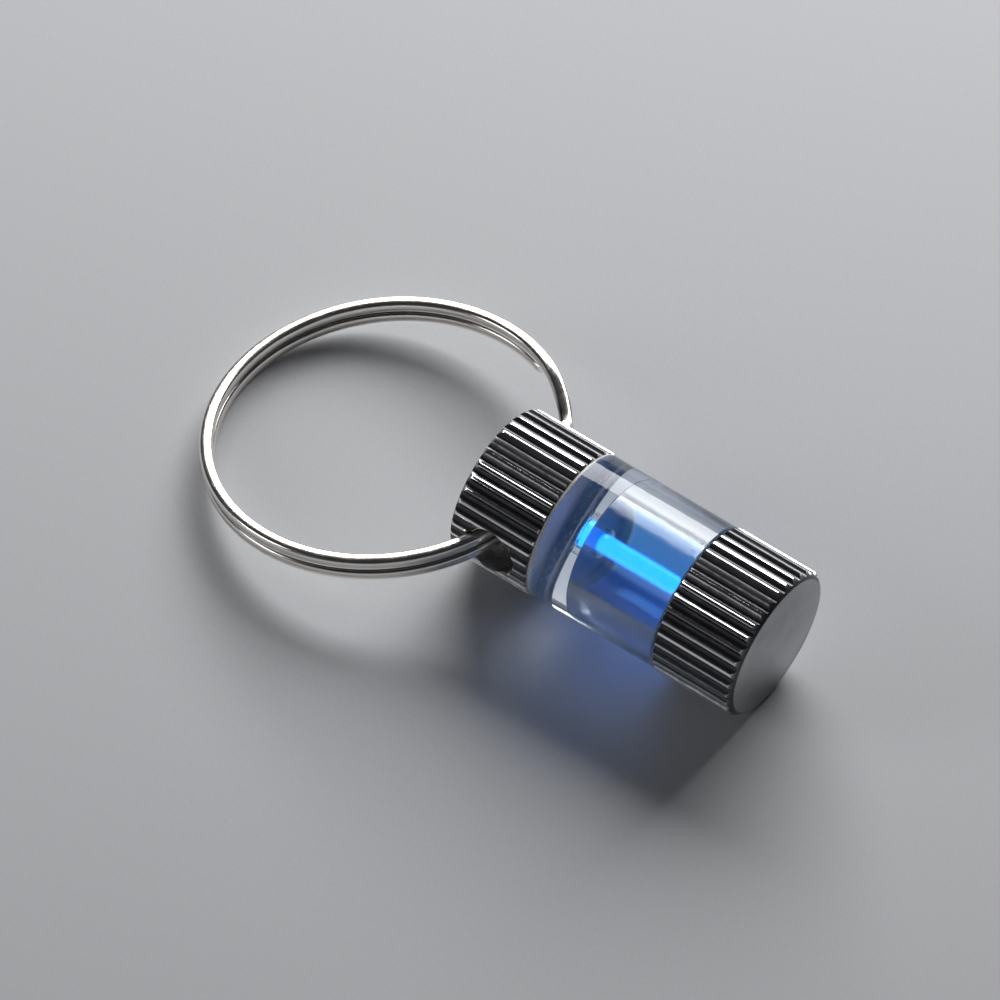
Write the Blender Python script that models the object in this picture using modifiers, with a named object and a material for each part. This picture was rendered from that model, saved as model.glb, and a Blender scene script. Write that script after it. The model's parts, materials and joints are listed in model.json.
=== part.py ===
"""Self-luminous key fob: a glowing glass vial in a clear cylinder between two fluted metal caps,
with a two-turn split key ring through a cross hole in one cap.

The barrel lies along X with the key ring towards -X, the cross hole runs along Y, and Z is up.
The origin is the bottom centre of the whole fob as it lies on a table. Units are metres.
"""

import math

import bmesh
import bpy
from mathutils import Matrix, Vector

MM = 0.001

# Barrel
CLEAR_DIAMETER = 12.0 * MM
CLEAR_LENGTH = 11.3 * MM
CAP_DIAMETER = 12.2 * MM
CAP_LENGTH = 7.0 * MM
JOINT_GAP = 0.05 * MM
CAP_BEVEL = 0.45 * MM
JOINT_CHAMFER = 0.15 * MM
CLEAR_BEVEL = 0.3 * MM

# Flutes on both caps
FLUTE_COUNT = 36
FLUTE_DEPTH = 0.30 * MM
FLUTE_LAND_SHARE = 0.26
FLUTE_STEPS = 5
FLUTE_PHASE = math.radians(0.7)

# Cross hole for the key ring, at the middle of the ring cap
HOLE_DIAMETER = 4.2 * MM
HOLE_FROM_END = 3.5 * MM
HOLE_CHAMFER_DEPTH = 0.75 * MM

# Spigots on the clear body and the sockets in the caps
INNER_SPIGOT_RADIUS = 4.5 * MM
INNER_SPIGOT_LENGTH = 0.75 * MM
INNER_SOCKET_RADIUS = 4.8 * MM
INNER_SOCKET_DEPTH = 0.97 * MM
OUTER_SPIGOT_RADIUS = 4.5 * MM
OUTER_SPIGOT_LENGTH = 4.0 * MM
OUTER_SOCKET_RADIUS = 4.75 * MM
OUTER_SOCKET_DEPTH = 4.6 * MM
O_RING_SECTION = 0.35 * MM
O_RING_RADIUS = 4.75 * MM
O_RING_SEAT_RADIUS = 5.16 * MM
O_RING_SEAT_DEPTH = 0.9 * MM
O_RING_GROOVE_RADIUS = 4.33 * MM

# Bore of the clear body, and the pocket in its floor that holds the vial
BORE_RADIUS = 3.85 * MM
FLOOR_THICKNESS = 2.9 * MM
POCKET_RADIUS = 1.15 * MM
POCKET_DEPTH = 1.55 * MM

# Vial
VIAL_DIAMETER = 1.5 * MM
VIAL_LENGTH = 12.0 * MM
VIAL_WALL = 0.2 * MM
VIAL_END_THICKNESS = 0.25 * MM
VIAL_END_GAP = 0.05 * MM
LINING_THICKNESS = 0.1 * MM
POCKET_CLEARANCE = 0.08 * MM

# Silicone plug behind the vial
CUSHION_RADIUS = 3.7 * MM
CUSHION_LENGTH = 3.3 * MM
CUSHION_POCKET = 1.5 * MM

# Split key ring: two stacked turns of flattened wire
RING_OUTER_DIAMETER = 28.0 * MM
WIRE_WIDTH = 1.05 * MM
WIRE_HEIGHT = 0.98 * MM
TURN_GAP = 0.08 * MM
RAMP_DEGREES = 26.0
END_GAP_DEGREES = 3.0
RING_SEAM_DEGREES = 36.0
RING_STEPS_PER_TURN = 60
RING_FROM_HOLE = 13.6 * MM

ROUND_STEPS = 60

# Stations along the barrel, measured from the middle of the clear section
CLEAR_INNER = -CLEAR_LENGTH / 2
CLEAR_OUTER = CLEAR_LENGTH / 2
RING_CAP_END = CLEAR_INNER - CAP_LENGTH
END_CAP_END = CLEAR_OUTER + CAP_LENGTH
HOLE_X = RING_CAP_END + HOLE_FROM_END
BORE_FLOOR = CLEAR_INNER + FLOOR_THICKNESS
VIAL_INNER = BORE_FLOOR - POCKET_DEPTH + POCKET_CLEARANCE
VIAL_OUTER = VIAL_INNER + VIAL_LENGTH

# The ring lies with its far side on the table: its plane passes through the hole's axis
STACK_HALF = WIRE_HEIGHT + TURN_GAP / 2
RING_REACH = RING_FROM_HOLE + RING_OUTER_DIAMETER / 2
RING_TILT = math.asin((CAP_DIAMETER / 2 - STACK_HALF) / RING_REACH)
FAR_X = HOLE_X - RING_REACH * math.cos(RING_TILT) - STACK_HALF * math.sin(RING_TILT)
MIDDLE_X = (FAR_X + END_CAP_END) / 2

COLLECTION = "self_luminous_key_fob"


def clear_scene():
    for item in list(bpy.data.objects):
        bpy.data.objects.remove(item, do_unlink=True)


def new_collection(name):
    collection = bpy.data.collections.new(name)
    bpy.context.scene.collection.children.link(collection)
    return collection


def material(name, colour, roughness, metallic=0.0, transmission=0.0, ior=1.45, glow=None):
    made = bpy.data.materials.new(name)
    made.use_nodes = True
    shader = made.node_tree.nodes["Principled BSDF"]
    shader.inputs["Base Color"].default_value = (*colour, 1.0)
    shader.inputs["Roughness"].default_value = roughness
    shader.inputs["Metallic"].default_value = metallic
    shader.inputs["Transmission Weight"].default_value = transmission
    shader.inputs["IOR"].default_value = ior
    if glow:
        shader.inputs["Emission Color"].default_value = (*glow, 1.0)
        shader.inputs["Emission Strength"].default_value = 4.0
    return made


def add_object(name, mesh, collection, finish=None):
    made = bpy.data.objects.new(name, mesh)
    collection.objects.link(made)
    if finish:
        mesh.materials.append(finish)
    return made


def shade(made, angle=32.0):
    made.data.shade_smooth()
    made.data.set_sharp_from_angle(angle=math.radians(angle))


def barrel_frame(radius_z=CAP_DIAMETER / 2):
    """Local Z along world +X, at the middle of the clear section on the barrel's axis."""
    place = Matrix.Translation(Vector((-MIDDLE_X, 0.0, radius_z)))
    return place @ Matrix.Rotation(math.radians(90.0), 4, "Y")


def turned(name, profile, collection, finish=None, steps=ROUND_STEPS):
    """Turn a closed outline of (radius, station) points about the barrel's axis.

    The outline starts on the outer side and runs towards falling stations on it.
    """
    mesh = bpy.data.meshes.new(name)
    shape = bmesh.new()
    corners = [shape.verts.new((radius, 0.0, station)) for radius, station in profile]
    for first, second in zip(corners, corners[1:] + corners[:1]):
        if first.co.x > 1e-9 or second.co.x > 1e-9:
            shape.edges.new((first, second))
    shape.to_mesh(mesh)
    shape.free()
    made = add_object(name, mesh, collection, finish)
    screw = made.modifiers.new("Turn", "SCREW")
    screw.axis = "Z"
    screw.steps = steps
    screw.render_steps = steps
    screw.use_merge_vertices = True
    screw.merge_threshold = 1e-6
    screw.use_smooth_shade = False
    made.matrix_world = barrel_frame()
    return made


def bake(made):
    """Replace an object's mesh by its evaluated mesh, with no modifiers left."""
    bpy.context.view_layer.update()
    graph = bpy.context.evaluated_depsgraph_get()
    mesh = bpy.data.meshes.new_from_object(made.evaluated_get(graph))
    made.modifiers.clear()
    old = made.data
    if made.type == "CURVE":
        place = made.matrix_world.copy()
        name, collection = made.name, made.users_collection[0]
        bpy.data.objects.remove(made, do_unlink=True)
        bpy.data.curves.remove(old)
        made = bpy.data.objects.new(name, mesh)
        collection.objects.link(made)
        made.matrix_world = place
    else:
        made.data = mesh
        bpy.data.meshes.remove(old)
    mesh.name = made.name
    return made


def weld(made, distance=2e-6):
    shape = bmesh.new()
    shape.from_mesh(made.data)
    bmesh.ops.remove_doubles(shape, verts=shape.verts, dist=distance)
    bmesh.ops.recalc_face_normals(shape, faces=shape.faces)
    shape.to_mesh(made.data)
    shape.free()
    return made


def combine(made, cutter, operation):
    boolean = made.modifiers.new(operation.title(), "BOOLEAN")
    boolean.operation = operation
    boolean.solver = "EXACT"
    boolean.object = cutter
    cutter.hide_render = True
    cutter.display_type = "WIRE"
    return bake(made)


def rounded_corner(radius, station, size, quadrant, steps=3):
    """Points of a quarter round in a turned outline; quadrant is the arc's first angle in degrees."""
    points = []
    for step in range(steps + 1):
        angle = math.radians(quadrant - 90.0 * step / steps)
        points.append((radius + size * math.cos(angle), station + size * math.sin(angle)))
    return points


def flute_outline():
    """Outline of a fluted cap: narrow lands on the full diameter with a scooped flute between them."""
    points = []
    pitch = 2.0 * math.pi / FLUTE_COUNT
    radius = CAP_DIAMETER / 2
    for flute in range(FLUTE_COUNT):
        start = FLUTE_PHASE + flute * pitch - pitch * FLUTE_LAND_SHARE / 2
        scoop = pitch * (1.0 - FLUTE_LAND_SHARE)
        points.append((radius, start))
        for step in range(FLUTE_STEPS):
            share = step / (FLUTE_STEPS - 1)
            depth = FLUTE_DEPTH * math.sin(math.pi * share) ** 0.8
            points.append((radius - depth, start + pitch * FLUTE_LAND_SHARE + scoop * share))
    return [(r * math.cos(a), r * math.sin(a)) for r, a in unique_points(points)]


def unique_points(points):
    """Drop a point that repeats the one before it."""
    kept = []
    for radius, angle in points:
        if not kept or abs(angle - kept[-1][1]) > 1e-6:
            kept.append((radius, angle))
    if abs(kept[0][1] + 2.0 * math.pi - kept[-1][1]) < 1e-6:
        kept.pop()
    return kept


def fluted_blank(name, low, high, collection, finish):
    """A fluted bar between two stations, from a flat outline given thickness."""
    curve = bpy.data.curves.new(name, "CURVE")
    curve.dimensions = "2D"
    curve.fill_mode = "BOTH"
    curve.extrude = (high - low) / 2
    outline = flute_outline()
    spline = curve.splines.new("POLY")
    spline.points.add(len(outline) - 1)
    for point, (x, y) in zip(spline.points, outline):
        point.co = (x, y, 0.0, 1.0)
    spline.use_cyclic_u = True
    made = bpy.data.objects.new(name, curve)
    collection.objects.link(made)
    made.matrix_world = barrel_frame() @ Matrix.Translation(Vector((0.0, 0.0, (low + high) / 2)))
    made = weld(bake(made))
    made.data.materials.append(finish)
    return made


def cap_envelope(name, low, high, free_end, socket, collection):
    """The turned shape of a cap: a rounded free edge, a small chamfer at the joint, and its socket."""
    radius = CAP_DIAMETER / 2 + 0.2 * MM
    outer = CAP_DIAMETER / 2 - CAP_BEVEL
    inner = CAP_DIAMETER / 2 - JOINT_CHAMFER
    if free_end > 0:
        top = [(0.0, high), (outer, high), (radius, high - radius + outer)]
        bottom = [(radius, low + radius - inner), (inner, low)]
        return turned(name, top + bottom + socket, collection)
    top = [(inner, high), (radius, high - radius + inner)]
    bottom = [(radius, low + radius - outer), (outer, low), (0.0, low)]
    return turned(name, socket + top + bottom, collection)


def make_ring_cap(parts, cutters, finish):
    low, high = RING_CAP_END, CLEAR_INNER - JOINT_GAP
    cap = fluted_blank("ring_cap", low, high, parts, finish)
    floor = CLEAR_INNER - INNER_SOCKET_DEPTH
    socket = [(0.0, floor), (INNER_SOCKET_RADIUS, floor), (INNER_SOCKET_RADIUS, high)]
    cap = combine(cap, cap_envelope("ring_cap_envelope", low, high, -1, socket, cutters), "INTERSECT")
    cap = combine(cap, cross_hole_cutter(cutters), "DIFFERENCE")
    shade(cap, 28.0)
    return cap


def cross_hole_cutter(cutters):
    """A bore along Y with a countersunk mouth at each side of the cap."""
    radius = HOLE_DIAMETER / 2
    mouth = CAP_DIAMETER / 2 + 0.5 * MM
    start = CAP_DIAMETER / 2 - HOLE_CHAMFER_DEPTH
    wide = radius + mouth - start
    profile = [(0.0, mouth), (wide, mouth), (radius, start), (radius, -start), (wide, -mouth), (0.0, -mouth)]
    cutter = turned("cross_hole", profile, cutters, steps=40)
    cutter.matrix_world = (
        Matrix.Translation(Vector((HOLE_X - MIDDLE_X, 0.0, CAP_DIAMETER / 2)))
        @ Matrix.Rotation(math.radians(90.0), 4, "X")
    )
    return cutter


def make_end_cap(parts, cutters, finish):
    low, high = CLEAR_OUTER + JOINT_GAP, END_CAP_END
    cap = fluted_blank("end_cap", low, high, parts, finish)
    floor = CLEAR_OUTER + OUTER_SOCKET_DEPTH
    seat = CLEAR_OUTER + O_RING_SEAT_DEPTH
    socket = [
        (O_RING_SEAT_RADIUS, low),
        (O_RING_SEAT_RADIUS, seat),
        (OUTER_SOCKET_RADIUS, seat),
        (OUTER_SOCKET_RADIUS, floor),
        (0.0, floor),
    ]
    cap = combine(cap, cap_envelope("end_cap_envelope", low, high, 1, socket, cutters), "INTERSECT")
    shade(cap, 28.0)
    cap_origin(cap)
    return cap


def cap_origin(cap):
    """Put the end cap's origin on its own axis, at the joint with the clear body."""
    place = Matrix.Translation(Vector((CLEAR_OUTER - MIDDLE_X, 0.0, CAP_DIAMETER / 2)))
    cap.data.transform(place.inverted() @ cap.matrix_world)
    cap.matrix_world = place


def make_clear_body(parts, finish):
    radius = CLEAR_DIAMETER / 2
    bevel = CLEAR_BEVEL
    spigot_end = CLEAR_OUTER + OUTER_SPIGOT_LENGTH
    groove_low = CLEAR_OUTER + 0.1 * MM
    groove_high = CLEAR_OUTER + O_RING_SEAT_DEPTH
    profile = [
        (BORE_RADIUS, spigot_end),
        (OUTER_SPIGOT_RADIUS - 0.2 * MM, spigot_end),
        (OUTER_SPIGOT_RADIUS, spigot_end - 0.2 * MM),
        (OUTER_SPIGOT_RADIUS, groove_high),
        (O_RING_GROOVE_RADIUS, groove_high),
        (O_RING_GROOVE_RADIUS, CLEAR_OUTER),
    ]
    profile += rounded_corner(radius - bevel, CLEAR_OUTER - bevel, bevel, 90.0)
    profile += rounded_corner(radius - bevel, CLEAR_INNER + bevel, bevel, 0.0)
    profile += [
        (INNER_SPIGOT_RADIUS, CLEAR_INNER),
        (INNER_SPIGOT_RADIUS, CLEAR_INNER - INNER_SPIGOT_LENGTH),
        (0.0, CLEAR_INNER - INNER_SPIGOT_LENGTH),
        (0.0, BORE_FLOOR - POCKET_DEPTH),
        (POCKET_RADIUS, BORE_FLOOR - POCKET_DEPTH),
        (POCKET_RADIUS, BORE_FLOOR),
        (BORE_RADIUS, BORE_FLOOR),
    ]
    body = bake(turned("clear_body", profile, parts, finish))
    shade(body, 40.0)
    return body


def make_ring_cap_bond(parts, finish):
    """A thin cup of adhesive between the clear body's spigot and the ring cap's recess."""
    gap = 0.05 * MM
    rim = CLEAR_INNER - 0.1 * MM
    end = CLEAR_INNER - INNER_SPIGOT_LENGTH - gap
    floor = CLEAR_INNER - INNER_SOCKET_DEPTH + gap
    outer, inner = INNER_SOCKET_RADIUS - gap, INNER_SPIGOT_RADIUS + gap
    profile = [(inner, rim), (outer, rim), (outer, floor), (0.0, floor), (0.0, end), (inner, end)]
    return bake(turned("ring_cap_bond", profile, parts, finish))


def make_o_ring(parts, finish):
    steps = 8
    middle = CLEAR_OUTER + 0.48 * MM
    profile = []
    for step in range(steps):
        angle = math.radians(90.0 - 360.0 * step / steps)
        reach = O_RING_SECTION * math.cos(angle)
        profile.append((O_RING_RADIUS + reach, middle + O_RING_SECTION * math.sin(angle)))
    ring = bake(turned("body_o_ring", profile, parts, finish, steps=48))
    shade(ring, 60.0)
    return ring


def make_vial(parts, glass, phosphor):
    """The vial: an open glass tube with its phosphor lining, and a fused end at each side."""
    radius = VIAL_DIAMETER / 2
    low = VIAL_INNER + VIAL_END_THICKNESS
    high = VIAL_OUTER - VIAL_END_THICKNESS
    bore = radius - VIAL_WALL
    tube = [(bore, high), (radius, high), (radius, low), (bore, low)]
    made = [bake(turned("vial_glass", tube, parts, glass, steps=32))]
    outer = bore - 0.04 * MM
    inner = outer - LINING_THICKNESS
    inset = 0.04 * MM
    lining = [(inner, high - inset), (outer, high - inset), (outer, low + inset), (inner, low + inset)]
    made.append(bake(turned("phosphor_lining", lining, parts, phosphor, steps=32)))
    for name, side, base in (("vial_end_inner", -1, low), ("vial_end_outer", 1, high)):
        made.append(bake(vial_end(name, side, base, parts, glass)))
    for item in made:
        shade(item, 40.0)
    return made


def vial_end(name, side, base, parts, glass):
    """A fused glass end: a short plug with a domed outside."""
    radius = VIAL_DIAMETER / 2
    length = VIAL_END_THICKNESS - VIAL_END_GAP
    dome = length * 0.7
    start = base + side * VIAL_END_GAP
    shoulder = start + side * (length - dome)
    arc = []
    for step in range(5):
        angle = math.radians(90.0 * step / 4)
        arc.append((radius * math.sin(angle), shoulder + side * dome * math.cos(angle)))
    arc[0] = (0.0, arc[0][1])
    outline = arc + [(radius, start), (0.0, start)]
    if side < 0:
        outline.reverse()
    return turned(name, outline, parts, glass, steps=32)


def make_socket_bond(parts, finish):
    """Clear adhesive around the vial's inner end, in the pocket of the clear body."""
    gap = 0.04 * MM
    low = BORE_FLOOR - POCKET_DEPTH + 0.3 * MM
    high = BORE_FLOOR - 0.1 * MM
    outer, inner = POCKET_RADIUS - gap, VIAL_DIAMETER / 2 + gap
    profile = [(inner, high), (outer, high), (outer, low), (inner, low)]
    return bake(turned("vial_socket_bond", profile, parts, finish, steps=32))


def make_cushion(parts, finish):
    """The silicone plug that the end cap carries: it closes the bore and holds the vial's outer end."""
    high = CLEAR_OUTER + OUTER_SOCKET_DEPTH - 0.05 * MM
    low = high - CUSHION_LENGTH
    hollow = VIAL_DIAMETER / 2 + 0.08 * MM
    depth = VIAL_OUTER + 0.1 * MM
    profile = [
        (0.0, high),
        (CUSHION_RADIUS - 0.2 * MM, high),
        (CUSHION_RADIUS, high - 0.2 * MM),
        (CUSHION_RADIUS, low + 0.2 * MM),
        (CUSHION_RADIUS - 0.2 * MM, low),
        (hollow, low),
        (hollow, depth),
        (0.0, depth),
    ]
    cushion = bake(turned("vial_cushion", profile, parts, finish, steps=48))
    shade(cushion, 40.0)
    return cushion


def wire_section():
    """Points of the flattened wire's outline, across and up, anticlockwise."""
    half_width, half_height = WIRE_WIDTH / 2, WIRE_HEIGHT / 2
    points = []
    for step in range(10):
        angle = math.radians(36.0 * step)
        across = math.copysign(abs(math.cos(angle)) ** 0.65, math.cos(angle))
        up = math.copysign(abs(math.sin(angle)) ** 0.65, math.sin(angle))
        points.append((half_width * across, half_height * up))
    return points


def make_key_ring(parts, cutters, finish):
    """A split ring: flattened wire swept along one flat turn below, a short ramp and one flat turn above."""
    outline = bpy.data.curves.new("wire_section", "CURVE")
    outline.dimensions = "2D"
    spline = outline.splines.new("POLY")
    section = wire_section()
    spline.points.add(len(section) - 1)
    for point, (across, up) in zip(spline.points, section):
        point.co = (across, up, 0.0, 1.0)
    spline.use_cyclic_u = True
    profile = bpy.data.objects.new("wire_section", outline)
    cutters.objects.link(profile)
    profile.hide_render = True
    profile.display_type = "WIRE"

    radius = RING_OUTER_DIAMETER / 2 - WIRE_WIDTH / 2
    start = RAMP_DEGREES + END_GAP_DEGREES
    finish_angle = 720.0 - END_GAP_DEGREES
    count = round(RING_STEPS_PER_TURN * (finish_angle - start) / 360.0)
    offset = (WIRE_HEIGHT + TURN_GAP) / 2
    path = bpy.data.curves.new("key_ring", "CURVE")
    path.dimensions = "3D"
    path.twist_mode = "Z_UP"
    path.bevel_mode = "OBJECT"
    path.bevel_object = profile
    path.use_fill_caps = True
    turns = path.splines.new("POLY")
    turns.points.add(count)
    for step, point in enumerate(turns.points):
        degrees = start + (finish_angle - start) * step / count
        share = min(max((degrees - 360.0) / RAMP_DEGREES, 0.0), 1.0)
        angle = math.radians(degrees + RING_SEAM_DEGREES)
        height = offset * -math.cos(math.pi * share)
        point.co = (radius * math.cos(angle), radius * math.sin(angle), height, 1.0)
    ring = bpy.data.objects.new("key_ring", path)
    parts.objects.link(ring)
    ring = weld(bake(ring))
    ring.data.materials.clear()
    ring.data.materials.append(finish)
    shade(ring, 50.0)

    swing = bpy.data.objects.new("ring_swing_axis", None)
    parts.objects.link(swing)
    swing.location = (HOLE_X - MIDDLE_X, 0.0, CAP_DIAMETER / 2)
    swing.rotation_euler = (0.0, -RING_TILT, 0.0)
    ring.parent = swing
    ring.location = (-RING_FROM_HOLE, 0.0, 0.0)
    return ring


def main():
    clear_scene()
    parts = new_collection(COLLECTION)
    cutters = new_collection("cutters")
    steel = material("polished_steel", (0.80, 0.80, 0.81), 0.16, metallic=1.0)
    wire = material("nickel_plated_wire", (0.74, 0.72, 0.70), 0.24, metallic=1.0)
    acrylic = material("clear_acrylic", (0.93, 0.97, 1.0), 0.03, transmission=1.0, ior=1.49)
    glass = material("vial_glass", (0.90, 0.97, 1.0), 0.02, transmission=1.0, ior=1.47)
    phosphor = material("blue_phosphor", (0.25, 0.60, 1.0), 0.5, glow=(0.12, 0.50, 1.0))
    adhesive = material("clear_adhesive", (0.85, 0.90, 0.95), 0.2, transmission=0.8, ior=1.5)
    silicone = material("white_silicone", (0.85, 0.86, 0.88), 0.55)
    rubber = material("black_rubber", (0.03, 0.03, 0.03), 0.6)
    make_ring_cap(parts, cutters, steel)
    make_end_cap(parts, cutters, steel)
    make_clear_body(parts, acrylic)
    make_ring_cap_bond(parts, adhesive)
    make_o_ring(parts, rubber)
    make_vial(parts, glass, phosphor)
    make_socket_bond(parts, adhesive)
    make_cushion(parts, silicone)
    make_key_ring(parts, cutters, wire)
    bpy.context.view_layer.update()


main()
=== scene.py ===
"""Looks for the self-luminous key fob: fluted caps, a clear body, a glowing vial and a split ring.

Pieces are made round the barrel's axis, which runs along X at the height of the caps' middle. Profiles
are in millimetres along that axis and out from it, and meshes are stored in metres.
"""

import json
import math
import random

import bmesh
import bpy
from mathutils import Matrix, Vector


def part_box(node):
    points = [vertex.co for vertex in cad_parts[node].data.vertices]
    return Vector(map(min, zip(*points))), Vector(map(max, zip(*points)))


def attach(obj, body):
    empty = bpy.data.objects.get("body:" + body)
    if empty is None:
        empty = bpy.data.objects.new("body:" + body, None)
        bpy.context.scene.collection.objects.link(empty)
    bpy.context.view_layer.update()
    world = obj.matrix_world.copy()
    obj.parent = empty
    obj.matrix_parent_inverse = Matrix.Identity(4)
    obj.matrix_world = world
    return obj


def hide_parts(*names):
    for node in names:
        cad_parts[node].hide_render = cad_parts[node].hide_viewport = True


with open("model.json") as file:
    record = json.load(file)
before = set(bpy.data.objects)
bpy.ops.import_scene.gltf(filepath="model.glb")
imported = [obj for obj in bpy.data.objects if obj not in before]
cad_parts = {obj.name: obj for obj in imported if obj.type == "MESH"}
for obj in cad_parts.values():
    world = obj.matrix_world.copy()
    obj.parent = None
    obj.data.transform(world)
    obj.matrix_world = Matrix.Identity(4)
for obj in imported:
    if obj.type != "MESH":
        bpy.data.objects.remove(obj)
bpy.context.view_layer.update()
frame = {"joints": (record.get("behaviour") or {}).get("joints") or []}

MM = 0.001

# ---------------------------------------------------------------- places read from the frame


def span_x(node):
    """Lowest and highest station of a CAD node along the barrel, in millimetres."""
    low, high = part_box(node)
    return low.x / MM, high.x / MM


cap_low, cap_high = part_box("ring_cap")
body_low, body_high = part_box("clear_body")
AXIS_Z = (cap_low.z + cap_high.z) / 2 / MM
CAP_RADIUS = (cap_high.z - cap_low.z) / 2 / MM
CLEAR_RADIUS = (body_high.z - body_low.z) / 2 / MM
RING_CAP_END, RING_CAP_JOINT = span_x("ring_cap")
END_CAP_JOINT, END_CAP_END = span_x("end_cap")
INNER_SPIGOT_END, OUTER_SPIGOT_END = span_x("clear_body")
TUBE_LOW, TUBE_HIGH = span_x("vial_glass")
VIAL_OUTER = span_x("vial_end_outer")[1]
HOLE_X = frame["joints"][0]["pos_m"][0] / MM

JOINT_GAP = 0.05
CLEAR_INNER = RING_CAP_JOINT + JOINT_GAP
CLEAR_OUTER = END_CAP_JOINT - JOINT_GAP

# Caps
FLUTES = 36
FLUTE_DEPTH = 0.30
FLUTE_PHASE = math.radians(0.7)
FLUTE_SAMPLES = 20
CREST_SHARE = 0.12
CREST_ROUNDING = 0.035
RING_CAP_ROUNDING = 0.50
END_CAP_CHAMFER = 0.45
JOINT_CHAMFER = 0.13
CAP_SHARP_DEGREES = 24.0
RING_CAP_SOCKET_RADIUS = 4.8
RING_CAP_SOCKET_DEPTH = 0.97
END_CAP_SOCKET_RADIUS = 4.78
END_CAP_SOCKET_DEPTH = 4.6
HOLE_RADIUS = 2.1
HOLE_FLARE = 0.62
HOLE_FLARE_START = 0.55
HOLE_FLARE_ANGLE = math.radians(60.0)

# Clear body
INNER_SPIGOT_RADIUS = 4.5
OUTER_SPIGOT_RADIUS = 4.5
GROOVE_RADIUS = 4.33
GROOVE_END = CLEAR_OUTER + 0.9
O_RING_RADIUS = 4.75
O_RING_SEAT_RADIUS = 5.16
BOND_INNER_RADIUS = 4.55
BOND_OUTER_RADIUS = 4.75
BORE_RADIUS = 3.85
BORE_FLOOR = CLEAR_INNER + 2.9
POCKET_RADIUS = 1.15
POCKET_FLOOR = BORE_FLOOR - 1.55
THREAD_PITCH = 0.75
THREAD_HEIGHT = 0.17

# Vial
VIAL_RADIUS = 0.75
VIAL_BORE = 0.50
LINING_RADIUS = 0.53
CUSHION_RADIUS = 3.7

# Split key ring
RING_OUTER_RADIUS = 14.0
WIRE_WIDTH = 1.05
WIRE_HEIGHT = 0.98
TURN_GAP = 0.08
RAMP_DEGREES = 26.0
END_GAP_DEGREES = 3.0
RING_SEAM_DEGREES = 36.0
RING_FROM_HOLE = 13.6
STACK_HALF = WIRE_HEIGHT + TURN_GAP / 2
RING_TILT = math.asin((AXIS_Z - STACK_HALF) / (RING_FROM_HOLE + RING_OUTER_RADIUS))

# Camera and lights
TARGET = Vector((0.0, 0.0, AXIS_Z))
CAMERA_ELEVATION = math.radians(51.8)
CAMERA_AZIMUTH = math.radians(31.3)
CAMERA_ROLL = math.radians(5.16)
CAMERA_DISTANCE = 700.0
FRAME_WIDTH = 74.07
AIM_RIGHT, AIM_DOWN = -0.29, 1.18
KEY_DISTANCE, KEY_SIZE, KEY_WATTS = 420.0, (420.0, 250.0), 2.2
FILL_DISTANCE, FILL_SIZE, FILL_WATTS = 520.0, (200.0, 200.0), 0.35

# ---------------------------------------------------------------- mesh helpers


def around(station, radius, angle):
    """A point round the barrel's axis, in metres; angle 0 is straight down and rises towards +Y."""
    return Vector((station, radius * math.sin(angle), AXIS_Z - radius * math.cos(angle))) * MM


def finish_piece(name, shape, body, replaced, materials, sharp=35.0):
    """Make an object from a bmesh, smooth it, and hand it to the frame."""
    bmesh.ops.recalc_face_normals(shape, faces=shape.faces)
    mesh = bpy.data.meshes.new(name)
    shape.to_mesh(mesh)
    shape.free()
    for material in materials:
        mesh.materials.append(material)
    piece = bpy.data.objects.new(name, mesh)
    bpy.context.scene.collection.objects.link(piece)
    mesh.shade_smooth()
    mesh.set_sharp_from_angle(angle=math.radians(sharp))
    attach(piece, body)
    if replaced:
        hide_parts(replaced)
    return piece


def join_rows(shape, low, high, material=0):
    """Faces between two rings of vertices with the same count; a one-vertex row is a pole."""
    if len(low) == 1 and len(high) == 1:
        return
    count = max(len(low), len(high))
    for index in range(count):
        other = (index + 1) % count
        if len(low) == 1:
            corners = (low[0], high[other], high[index])
        elif len(high) == 1:
            corners = (low[index], low[other], high[0])
        else:
            corners = (low[index], low[other], high[other], high[index])
        shape.faces.new(corners).material_index = material


def eased(corners, steps=4):
    """Round the corners of an outline: (station, radius, rounding, material of the run after it)."""
    points = []
    for index, (x, r, rounding, material) in enumerate(corners):
        here = Vector((x, r))
        before = Vector(corners[index - 1][:2]) - here
        after = Vector(corners[(index + 1) % len(corners)][:2]) - here
        reach = min(rounding, before.length * 0.45, after.length * 0.45)
        if reach <= 0.0:
            points.append((x, r, material))
            continue
        start = here + before.normalized() * reach
        end = here + after.normalized() * reach
        for step in range(steps + 1):
            t = step / steps
            spot = start * (1 - t) ** 2 + here * 2 * t * (1 - t) + end * t**2
            points.append((spot.x, max(spot.y, 0.0), material))
    return points


def lathe(shape, outline, columns, closed=True):
    """Turn an outline of (station, radius, material) about the barrel's axis."""
    rows = []
    for x, r, _ in outline:
        if r < 1e-5:
            rows.append([shape.verts.new(around(x, 0.0, 0.0))])
        else:
            angles = (2 * math.pi * column / columns for column in range(columns))
            rows.append([shape.verts.new(around(x, r, angle)) for angle in angles])
    pairs = zip(rows, rows[1:] + rows[:1]) if closed else zip(rows, rows[1:])
    for (low, high), (_, _, material) in zip(pairs, outline):
        join_rows(shape, low, high, material)


def turned_piece(name, corners, columns, body, replaced, materials, sharp=35.0):
    shape = bmesh.new()
    lathe(shape, eased(corners), columns)
    finish_piece(name, shape, body, replaced, materials, sharp)


# ---------------------------------------------------------------- material helpers


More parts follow.
